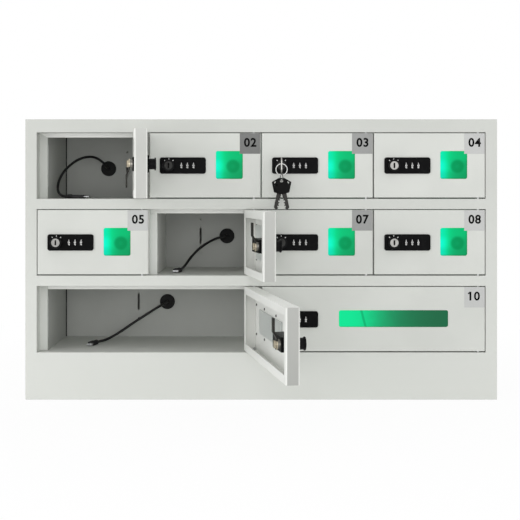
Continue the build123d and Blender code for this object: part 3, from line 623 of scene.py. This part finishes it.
stud_steel = plated("stud_steel", seen(84, 84, 84), seen(44, 44, 44), roughness=0.4)
for number in NUMBERS:
    low, high = shut_box(number, f"door_panel_{number}")
    middle = (low.z + high.z) / 2
    made = bmesh.new()
    for across, up in WIDE_STUDS if number in WIDE_DOORS else SMALL_STUDS:
        place = Vector((high.x + across * MM, low.y + SHEET + STUD_HEIGHT / 2, middle + up * MM))
        turn = Matrix.Translation(place) @ Matrix.Rotation(math.radians(90), 4, "X")
        bmesh.ops.create_cone(
            made,
            cap_ends=True,
            segments=20,
            radius1=STUD_RADIUS * STUD_TAPER,
            radius2=STUD_RADIUS,
            depth=STUD_HEIGHT,
            matrix=standing(number) @ turn,
        )
    finished(f"door_studs_{number}", made, f"door_{number}", [stud_steel])

# ---- Window panes -------------------------------------------------------------------------------
# Stepped panes of frosted acrylic behind the doors' cut-outs. Behind the shut doors they glow
# green with painted light, brightest near their left end; in the open doors they are milky.
WINDOW_FLANGE = 4.5 * MM
HALF_LIGHT_AT = 0.36
LIGHT_FALL = 3.5
SMALL_GLOW = (seen(5, 240, 160), seen(20, 165, 100))
WIDE_GLOW = (seen(20, 230, 150), seen(40, 95, 65))
DISC_ACROSS = 0.64
DISC_UP = 0.45
DISC_RADIUS = 10.5 * MM
LEAD_SHADE_AT = 0.205
LEAD_SHADE_SLANT = 0.04


def glowing(name, bright, dim, box, shaded_by):
    """A pane that glows with painted light, with the painted shadow of a round charging pad or of a lead on
    it and painted shade along its lower and right edges.
    """
    low, high = box
    pane = Finish(name, Roughness=0.3, Specular_IOR_Level=0.02, Emission_Strength=1.0)
    pane.set("Base Color", seen(0, 20, 12))
    place = pane.place()
    across = (pane.part(place, "X") - low.x) / (high.x - low.x)
    up = (pane.part(place, "Z") - low.z) / (high.z - low.z)
    cloud = pane.noise(scale=70.0, detail=3.0)
    spread = across + 0.07 * (cloud - 0.5)
    distance = (spread / HALF_LIGHT_AT) ** LIGHT_FALL
    light = pane.blend(distance / (1.0 + distance), bright, dim)
    # Painted shade along the pane's lower and right edges.
    rim = 0.35 * (1.0 - up.step(0.0, 0.09)) + 0.3 * across.step(0.9, 1.0)
    if shaded_by == "pad":
        # Painted light brightest near the left end, a lighter green in the upper part and painted shade in
        # the lower part.
        light = pane.blend(0.9 * (1.0 - spread.step(0.0, 0.35)), light, seen(20, 250, 215))
        light = pane.blend(0.45 * up.step(0.5, 0.8), light, seen(4, 212, 128))
        light = pane.blend(0.25 * (1.0 - up.step(0.15, 0.4)), light, seen(16, 128, 74))
        # The painted shadow of the round pad, with a lighter middle.
        off_x = (across - DISC_ACROSS) * (high.x - low.x)
        off_z = (up - DISC_UP) * (high.z - low.z)
        from_middle = (off_x * off_x + off_z * off_z) ** 0.5
        shade = 1.0 - from_middle.step(0.7 * DISC_RADIUS, 1.15 * DISC_RADIUS)
        heart = 1.0 - from_middle.step(0.0, 0.5 * DISC_RADIUS)
        light = pane.blend(0.65 * shade - 0.15 * heart, light, seen(0, 136, 74))
    else:
        # The painted shadow of a lead, a slanting dark line.
        slant = abs(across - LEAD_SHADE_AT - LEAD_SHADE_SLANT * (1.0 - up))
        light = pane.blend(0.45 * (1.0 - slant.step(0.004, 0.016)), light, seen(12, 120, 70))
    pane.set("Emission Color", pane.blend(rim, light, seen(30, 110, 74)))
    return pane


pane_milky = Finish("pane_milky", Roughness=0.3, IOR=1.49, Transmission_Weight=0.35)
frosting = pane_milky.noise(scale=300.0, detail=3.0)
pane_milky.set("Base Color", pane_milky.blend(frosting, seen(216, 221, 218), seen(228, 232, 229)))
for number in NUMBERS:
    node = f"window_pane_{number}"
    if number in OPEN_DOORS:
        dress(node, pane_milky)
    else:
        low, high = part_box(node)
        rim = Vector((WINDOW_FLANGE, 0, WINDOW_FLANGE))
        box = (low + rim, high - rim)
        tones, shaded_by = (WIDE_GLOW, "lead") if number in WIDE_DOORS else (SMALL_GLOW, "pad")
        dress(node, glowing(f"pane_lit_{number}", *tones, box, shaded_by))
    round_edges(node, 0.25 * MM)

# ---- Door numbers -------------------------------------------------------------------------------
# A square grey foil at the top right corner of every door, with the door's number printed in
# black. The foils are self-adhesive. The darker greys on doors 02, 03, 06 and 07 are painted shade.
FOIL_SIZE = 30.3 * MM
FOIL_FROM_SIDE = 0.7 * MM
FOIL_FROM_TOP = 0.25 * MM
FOIL_THICKNESS = 0.15 * MM
DOOR_EDGE_RADIUS = 2.0 * MM
DIGIT_HEIGHT = 12.9 * MM
DIGIT_OFFSET = (0.3 * MM, 1.7 * MM)
INK_THICKNESS = 0.1 * MM
STEM_WIDTH = 2.2 * MM
FLAG_OUTLINE = ((0.3, 0.0), (-0.6, -1.2), (-2.3, -2.2), (-2.3, -3.9), (0.3, -2.9))
FONT_CAP_SHARE = 0.729
# Painted shade: the foils of these doors take darker greys.
DARK_FOILS = ("02",)
MIDDLE_FOILS = ("03", "06", "07")


def foil_finish(name, tone):
    foil = Finish(name, Specular_IOR_Level=0.35)
    mottle = foil.noise(scale=500.0, detail=3.0)
    dull = seen(tone - 5, tone - 4, tone - 5)
    foil.set("Base Color", foil.blend(mottle, dull, seen(tone + 4, tone + 5, tone + 3)))
    foil.set("Roughness", 0.42 + 0.1 * mottle)
    foil.bump(mottle, depth=0.01 * MM)
    return foil


ink = Finish("label_ink", Roughness=0.5, Specular_IOR_Level=0.03)
ink.set("Base Color", ink.blend(ink.noise(scale=800.0), seen(5, 5, 5), seen(12, 12, 12)))
foil_dark = foil_finish("foil_dark", tone=115)
foil_middle = foil_finish("foil_middle", tone=150)
foil_light = foil_finish("foil_light", tone=190)


def lettering(words, height, thickness, boldness=0.0, spacing=1.0):
    """A bmesh of flat raised characters, centred on the origin and read from -Y."""
    text = bpy.data.curves.new("lettering", "FONT")
    text.body = words
    text.size = height / FONT_CAP_SHARE
    text.align_x = "CENTER"
    text.align_y = "CENTER"
    text.resolution_u = 4
    text.offset = boldness
    text.space_character = spacing
    text.extrude = thickness / 2
    holder = linked("lettering", text)
    bpy.context.view_layer.update()
    flat = bpy.data.meshes.new_from_object(holder.evaluated_get(bpy.context.evaluated_depsgraph_get()))
    bpy.data.objects.remove(holder)
    bpy.data.curves.remove(text)
    made = bmesh.new()
    made.from_mesh(flat)
    bpy.data.meshes.remove(flat)
    low = Vector([min(vertex.co[axis] for vertex in made.verts) for axis in range(3)])
    high = Vector([max(vertex.co[axis] for vertex in made.verts) for axis in range(3)])
    stand = Matrix.Rotation(math.radians(90), 4, "X") @ Matrix.Translation(-(low + high) / 2)
    bmesh.ops.transform(made, matrix=stand, verts=made.verts)
    return made


def add_to(mesh, piece, matrix):
    """Moves a loose piece into place and joins it to a mesh."""
    bmesh.ops.transform(piece, matrix=matrix, verts=piece.verts)
    data = bpy.data.meshes.new("added")
    piece.to_mesh(data)
    piece.free()
    mesh.from_mesh(data)
    bpy.data.meshes.remove(data)


def foil_square(right_edge, front, low_z, high_z):
    """A thin square of foil on a door's face, which follows the round of the door's edge."""
    left = right_edge - FOIL_FROM_SIDE - FOIL_SIZE
    bend = right_edge - DOOR_EDGE_RADIUS
    end = right_edge - FOIL_FROM_SIDE
    columns = [left, bend] + [bend + (end - bend) * step / 5 for step in range(1, 6)]
    square = bmesh.new()
    outlines = []
    for x in columns:
        past = max(0.0, x - bend)
        sink = DOOR_EDGE_RADIUS - math.sqrt(DOOR_EDGE_RADIUS**2 - past**2)
        depths = (front + sink - FOIL_THICKNESS, front + sink - HAIR)
        corners = [(depths[0], low_z), (depths[0], high_z), (depths[1], high_z), (depths[1], low_z)]
        outlines.append([square.verts.new((x, y, z)) for y, z in corners])
    square.faces.new(outlines[0])
    square.faces.new(list(reversed(outlines[-1])))
    for before, after in zip(outlines, outlines[1:]):
        for index in range(4):
            following = (index + 1) % 4
            square.faces.new((before[index], after[index], after[following], before[following]))
    for face in square.faces:
        face.smooth = True
    return square


def add_flag(characters, number):
    """Gives the 1 of a number its slanting stroke, which the plain letters lack."""
    places = [vertex.co.copy() for vertex in characters.verts]
    top = max(place.z for place in places)
    if number[0] == "1":
        stem = min(place.x for place in places)
    else:
        stem = max(place.x for place in places) - STEM_WIDTH
    outline = [(x * MM, z * MM) for x, z in FLAG_OUTLINE]
    flag = bmesh.new()
    lofted(flag, [(-INK_THICKNESS / 2, outline), (INK_THICKNESS / 2, outline)])
    stand = Matrix.Translation((stem, 0, top)) @ Matrix.Rotation(math.radians(90), 4, "X")
    add_to(characters, flag, stand)


for number in NUMBERS:
    low, high = shut_box(number, f"door_panel_{number}")
    right = high.x - FOIL_FROM_SIDE
    top = high.z - FOIL_FROM_TOP
    middle = Vector((right - FOIL_SIZE / 2, low.y, top - FOIL_SIZE / 2))
    made = foil_square(high.x, low.y, top - FOIL_SIZE, top)
    bmesh.ops.transform(made, matrix=standing(number), verts=made.verts)
    foil = foil_dark if number in DARK_FOILS else foil_middle if number in MIDDLE_FOILS else foil_light
    finished(f"number_foil_{number}", made, f"door_{number}", [foil])
    made = lettering(number, DIGIT_HEIGHT, INK_THICKNESS, boldness=0.5 * MM, spacing=1.1)
    if "1" in number:
        add_flag(made, number)
    place = middle + Vector((DIGIT_OFFSET[0], -FOIL_THICKNESS - INK_THICKNESS / 2, DIGIT_OFFSET[1]))
    bmesh.ops.transform(made, matrix=standing(number) @ Matrix.Translation(place), verts=made.verts)
    finished(f"number_{number}", made, f"door_{number}", [ink])

# ---- Lock housings ------------------------------------------------------------------------------
# A zinc face plate and body, sprayed gloss black, with three number wheels on an axle. The
# wheels of the third lock are pieces of their own. Three white index marks are printed above
# the knob.
KEYED = "03"
LOCK_PLATE_THICKNESS = 2.5 * MM
KNOB_FROM_PLATE_END = 13.7 * MM
DIAL_FIRST = 32.2 * MM
DIAL_PITCH = 9.0 * MM
DIAL_APOTHEM = 5.896 * MM
DIAL_FACES = 10
DIAL_AXIS_DEPTH = 2.7 * MM
INDEX_RADIUS = 9.7 * MM
INDEX_MARKS = {-39: (2.0, 1.0), 0: (1.7, 0.9), 39: (2.0, 1.0)}
MARK_THICKNESS = 0.06 * MM
MARK_ROUNDING = 0.3 * MM
WHEEL_DIGIT_HEIGHT = 3.2 * MM
WHEEL_DIGIT_WIDENING = 1.35
WHEEL_INK_THICKNESS = 0.04 * MM
WHEEL_HALF_WIDTH = 2.06 * MM
WHEEL_RADIUS = 6.25 * MM
AXLE_RADIUS = 1.05 * MM
AXLE_HALF_LENGTH = 14.0 * MM

lock_black = Finish("lock_black", Specular_IOR_Level=0.05)
orange_peel = lock_black.noise(scale=420.0, detail=2.0)
dust = lock_black.noise(scale=90.0, detail=5.0, roughness=0.6)
lock_black.set("Base Color", lock_black.blend(dust.step(0.45, 0.75), seen(9, 9, 10), seen(18, 18, 19)))
lock_black.set("Roughness", 0.34 + 0.14 * dust)
lock_black.bump(orange_peel, depth=0.04 * MM)
dial_black = Finish("dial_black", Specular_IOR_Level=0.05)
rub = dial_black.noise(scale=300.0, detail=3.0)
dial_black.set("Base Color", dial_black.blend(rub, seen(9, 9, 10), seen(20, 20, 21)))
dial_black.set("Roughness", 0.45 + 0.15 * rub)
dial_black.bump(rub, depth=0.03 * MM)
axle_steel = plated("axle_steel", seen(176, 177, 178), seen(130, 131, 132), roughness=0.3)
mark_white = Finish("mark_white", Roughness=0.5)
print_grain = mark_white.noise(scale=1200.0)
mark_white.set("Base Color", mark_white.blend(print_grain, seen(232, 232, 230), seen(250, 250, 248)))


def lock_left(number):
    """The left end of a lock's plate, its front and its middle height, with the door shut."""
    low, high = shut_box(number, f"lock_body_{number}")
    return Vector((low.x, low.y, (low.z + high.z) / 2))


def wheel_middle(corner, wheel):
    return corner + Vector((DIAL_FIRST + wheel * DIAL_PITCH, DIAL_AXIS_DEPTH + LOCK_PLATE_THICKNESS, 0))


def wheel_digits(mesh, middle, turn):
    """Ten digits round one wheel, with 0 at the front."""
    for digit in range(DIAL_FACES):
        character = lettering(str(digit), WHEEL_DIGIT_HEIGHT, WHEEL_INK_THICKNESS, boldness=0.08 * MM)
        outward = Matrix.Translation((0, -DIAL_APOTHEM - WHEEL_INK_THICKNESS / 2, 0))
        roll = Matrix.Rotation(math.radians(-digit * 360 / DIAL_FACES), 4, "X")
        widen = Matrix.Diagonal((WHEEL_DIGIT_WIDENING, 1.0, 1.0, 1.0))
        add_to(mesh, character, turn @ Matrix.Translation(middle) @ roll @ outward @ widen)


for number in NUMBERS:
    node = f"lock_body_{number}"
    corner = lock_left(number)
    turn = standing(number)
    dress(node, lock_black, dial_black, axle_steel)

    def part_of_lock(place, corner=corner):
        """The axle is bare, the wheels stand proud in their slots, and the rest is housing."""
        across = place.x - corner.x - DIAL_FIRST
        wheel = round(across / DIAL_PITCH)
        in_wheel = 0 <= wheel <= 2 and abs(across - wheel * DIAL_PITCH) < WHEEL_HALF_WIDTH
        off_axis = math.hypot(place.y - wheel_middle(corner, 0).y, place.z - corner.z)
        if in_wheel and off_axis < WHEEL_RADIUS:
            return 1
        if off_axis < AXLE_RADIUS and abs(across - DIAL_PITCH) < AXLE_HALF_LENGTH:
            return 2
        return 0

    assign(node, number, part_of_lock)
    round_edges(node, 0.3 * MM)
    made = bmesh.new()
    for angle, (length, width) in INDEX_MARKS.items():
        dash = stadium(width * MM / 2, length * MM / 2, MARK_ROUNDING, steps=3)
        mark = bmesh.new()
        lofted(mark, [(0.0, dash), (MARK_THICKNESS, dash)])
        knob = corner + Vector((KNOB_FROM_PLATE_END, 0, 0))
        stand = Matrix.Translation(knob) @ Matrix.Rotation(math.radians(angle), 4, "Y")
        stand = stand @ Matrix.Translation((0, 0, INDEX_RADIUS)) @ Matrix.Rotation(math.radians(90), 4, "X")
        add_to(made, mark, turn @ stand)
    finished(f"index_marks_{number}", made, f"door_{number}", [mark_white])
    if number != KEYED:
        made = bmesh.new()
        for wheel in range(3):
            wheel_digits(made, wheel_middle(corner, wheel), turn)
        finished(f"wheel_digits_{number}", made, f"door_{number}", [mark_white])

for wheel, name in enumerate(("left", "middle", "right")):
    dress(f"dial_{name}_{KEYED}", dial_black)
    round_edges(f"dial_{name}_{KEYED}", 0.2 * MM)
    made = bmesh.new()
    wheel_digits(made, wheel_middle(lock_left(KEYED), wheel), Matrix.Identity(4))
    finished(f"digits_{name}_{KEYED}", made, f"dial_{name}", [mark_white])

# ---- Knobs, plugs and cams ----------------------------------------------------------------------
# A black knob with a nickel-plated key plug in it, on a steel spindle. At the back of the door
# the spindle carries the blackened steel cam and its yellow-passivated nut.
PLUG_RADIUS = 6.2 * MM
PLUG_BACK = 0.6 * MM
KNOB_DEPTH = 10.1 * MM
KEYWAY_HALF_WIDTH = 1.15 * MM
KEYWAY_HALF_HEIGHT = 3.75 * MM
KEYWAY_DEPTH = 17.0 * MM
HUB_DEPTH = 36.3 * MM
CAM_THICKNESS = 2.0 * MM
HUB_RIM_FROM = 7.1 * MM
HUB_RIM_TO = 7.21 * MM
NUT_RADIUS = 5.6 * MM

knob_black = Finish("knob_black", Specular_IOR_Level=0.08)
touch = knob_black.noise(scale=150.0, detail=4.0)
knob_black.set("Base Color", knob_black.blend(touch, seen(9, 9, 10), seen(21, 21, 22)))
knob_black.set("Roughness", 0.32 + 0.16 * touch)
knob_black.bump(knob_black.noise(scale=700.0), depth=0.04 * MM)
plug_nickel = plated("plug_nickel", seen(176, 175, 172), seen(112, 111, 108), roughness=0.26)
# A darker copy of the plug plating for the plugs of locks 02, 03 and 07: painted shade.
plug_painted_shade = plated("plug_painted_shade", seen(70, 70, 69), seen(34, 34, 33), roughness=0.34)
SHADED_PLUGS = ("02", "03", "07")
spindle_steel = plated("spindle_steel", seen(176, 173, 165), seen(96, 94, 88), roughness=0.24)
nut_plating = plated("nut_plating", seen(226, 217, 196), seen(138, 125, 98), roughness=0.2)
cam_dark = plated("cam_dark", seen(62, 61, 58), seen(30, 29, 28), roughness=0.34)
# The faces inside the keyway are near black: painted shade in the slot.
keyway_painted_shade = Finish("keyway_painted_shade", Roughness=0.7)
keyway_shade_mottle = keyway_painted_shade.noise(scale=900.0)
keyway_painted_shade.set("Base Color", keyway_painted_shade.blend(keyway_shade_mottle, seen(10, 10, 10), seen(24, 23, 22)))

for number in NUMBERS:
    node = f"lock_cam_{number}"
    low, high = shut_box(number, node)
    axis = lock_left(number) + Vector((KNOB_FROM_PLATE_END, 0, 0))
    plug = plug_painted_shade if number in SHADED_PLUGS else plug_nickel
    dress(node, knob_black, plug, spindle_steel, cam_dark, keyway_painted_shade, nut_plating)

    def part_of_spindle(place, low=low, axis=axis):
        """Plug face, keyway, knob, spindle and cam, told apart by depth and radius."""
        depth = place.y - low.y
        radius = math.hypot(place.x - axis.x, place.z - axis.z)
        in_width = abs(place.x - axis.x) < KEYWAY_HALF_WIDTH
        in_keyway = in_width and abs(place.z - axis.z) < KEYWAY_HALF_HEIGHT
        if in_keyway and 10 * HAIR < depth < KEYWAY_DEPTH:
            return 4
        if depth < PLUG_BACK + HAIR and radius < PLUG_RADIUS + 5 * HAIR:
            return 1
        if depth < KNOB_DEPTH + HAIR:
            return 0
        if depth < HUB_DEPTH - HAIR:
            return 2
        rim = depth < HUB_DEPTH + CAM_THICKNESS - HAIR and HUB_RIM_FROM < radius < HUB_RIM_TO
        nut = depth > HUB_DEPTH + CAM_THICKNESS + HAIR and radius < NUT_RADIUS
        return 5 if rim or nut else 3

    assign(node, number, part_of_spindle)
    round_edges(node, 0.3 * MM)

# ---- Keys ---------------------------------------------------------------------------------------
# A flat nickel-plated key stands in the third lock. On it hang a split ring, a link and two
# spare keys with moulded black heads and dark steel blades.
key_nickel = plated("key_nickel", seen(188, 187, 183), seen(128, 126, 122), roughness=0.24)
ring_steel = plated("ring_steel", seen(222, 222, 221), seen(182, 182, 181), roughness=0.18)
link_steel = plated("link_steel", seen(120, 119, 117), seen(72, 71, 70), roughness=0.2)
spare_black = Finish("spare_key_black", Specular_IOR_Level=0.06)
handled = spare_black.noise(scale=220.0, detail=4.0)
spare_black.set("Base Color", spare_black.blend(handled, seen(9, 9, 9), seen(21, 21, 21)))
spare_black.set("Roughness", 0.4 + 0.2 * handled)
spare_black.bump(spare_black.noise(scale=1600.0), depth=0.04 * MM)
spare_steel = plated("spare_steel", seen(66, 65, 63), seen(24, 24, 23), roughness=0.32)

dress("key_in_lock", key_nickel)
round_edges("key_in_lock", 0.25 * MM)
dress("spare_keys", ring_steel, link_steel, spare_black, spare_steel)
RING_RADIUS = 8.2 * MM
RING_WIRE = 0.7 * MM
LINK_RADIUS = 5.2 * MM
LINK_WIRE = 0.6 * MM
LINK_SLACK = 0.3 * MM
LINK_TURN = math.radians(20)
HOLE_BELOW_LINK = 4.8 * MM
SPARE_FAN = math.radians(11.5)
HEAD_BELOW_HOLE = 19.0 * MM

bunch_low, bunch_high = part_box("spare_keys")
bunch_x = (bunch_low.x + bunch_high.x) / 2
bunch_y = (bunch_low.y + bunch_high.y) / 2
ring_middle = Vector((bunch_x, bunch_y, bunch_high.z - RING_WIRE - RING_RADIUS))
link_drop = RING_RADIUS + LINK_RADIUS - RING_WIRE - LINK_WIRE - LINK_SLACK
link_middle = ring_middle - Vector((0, 0, link_drop))


def on_wire(place, middle, normal, radius, wire):
    """Whether a place lies on a wire bent to a circle."""
    offset = place - middle
    height = offset.dot(normal)
    flat = (offset - normal * height).length
    return math.hypot(flat - radius, height) < wire + 5 * HAIR


bunch = nodes["spare_keys"].data
link_normal = Vector((math.cos(LINK_TURN), math.sin(LINK_TURN), 0.0))
for polygon in bunch.polygons:
    corners = [bunch.vertices[index].co for index in polygon.vertices]
    side = 1 if polygon.center.y > bunch_y else -1
    drop = link_middle - Vector((0, 0, HOLE_BELOW_LINK)) - polygon.center
    along = drop.z * math.cos(SPARE_FAN) + side * drop.x * math.sin(SPARE_FAN)
    if all(on_wire(corner, ring_middle, Vector((0, 1, 0)), RING_RADIUS, RING_WIRE) for corner in corners):
        polygon.material_index = 0
    elif all(on_wire(corner, link_middle, link_normal, LINK_RADIUS, LINK_WIRE) for corner in corners):
        polygon.material_index = 1
    else:
        polygon.material_index = 2 if along < HEAD_BELOW_HOLE + HAIR else 3
round_edges("spare_keys", 0.3 * MM)

# ---- Floor and light ----------------------------------------------------------------------------
# A plain white floor under an even white sky, with soft lamps in front of the doors. None of
# this is part of the locker.
FLOOR_SIZE = 12.0
FLOOR_LEVEL = -0.2 * MM
FLOOR_GLOW = 0.93
floor_mesh = bmesh.new()
bmesh.ops.create_grid(floor_mesh, x_segments=1, y_segments=1, size=FLOOR_SIZE / 2)
floor_data = bpy.data.meshes.new("floor")
floor_mesh.to_mesh(floor_data)
floor_mesh.free()
floor = linked("floor", floor_data)
floor.location.z = FLOOR_LEVEL

floor_paint = Finish("floor_paint", Roughness=0.9, Specular_IOR_Level=0.1, Base_Color=(0.9, 0.9, 0.9))
white = floor_paint.node("ShaderNodeEmission", None, {"Color": (1.0, 1.0, 1.0), "Strength": 1.0})
spot = floor_paint.place()
far = floor_paint.node("ShaderNodeVectorMath", {"operation": "LENGTH"}, {0: spot}, output="Value")
share = floor_paint.unlit() * (FLOOR_GLOW + (1.0 - FLOOR_GLOW) * far.step(0.45, 1.0))
blended = floor_paint.node(
    "ShaderNodeMixShader", None, {0: share, 1: Signal(floor_paint, floor_paint.shader.outputs[0]), 2: white}
)
floor_paint.feed(floor_paint.tree.nodes["Material Output"].inputs["Surface"], blended)
floor_data.materials.append(floor_paint.material)

SKY_LEVEL = 0.93
world = bpy.data.worlds.new("sky")
bpy.context.scene.world = world
world.use_nodes = True
sky = Network(world.node_tree)
background = sky.tree.nodes["Background"]
background.inputs["Color"].default_value = (1.0, 1.0, 1.0, 1.0)
sky.feed(background.inputs["Strength"], SKY_LEVEL + (1.0 - SKY_LEVEL) * sky.unlit())

LAMP_SIZE = 1.2
LAMPS = {
    "front_lamp": ((0.0, -2.4, 0.35), 8.6),
    "left_lamp": ((-2.0, -1.5, 0.5), 8.6),
    "right_lamp": ((2.0, -1.5, 0.5), 1.2),
}
AIM = Vector((0.0, 0.0, 0.2))
for name, (place, power) in LAMPS.items():
    lamp = bpy.data.lights.new(name, "AREA")
    lamp.shape = "DISK"
    lamp.size = LAMP_SIZE
    lamp.energy = power
    holder = linked(name, lamp)
    holder.location = place
    holder.rotation_euler = (AIM - Vector(place)).to_track_quat("-Z", "Y").to_euler()

bpy.context.scene.view_settings.view_transform = "Standard"
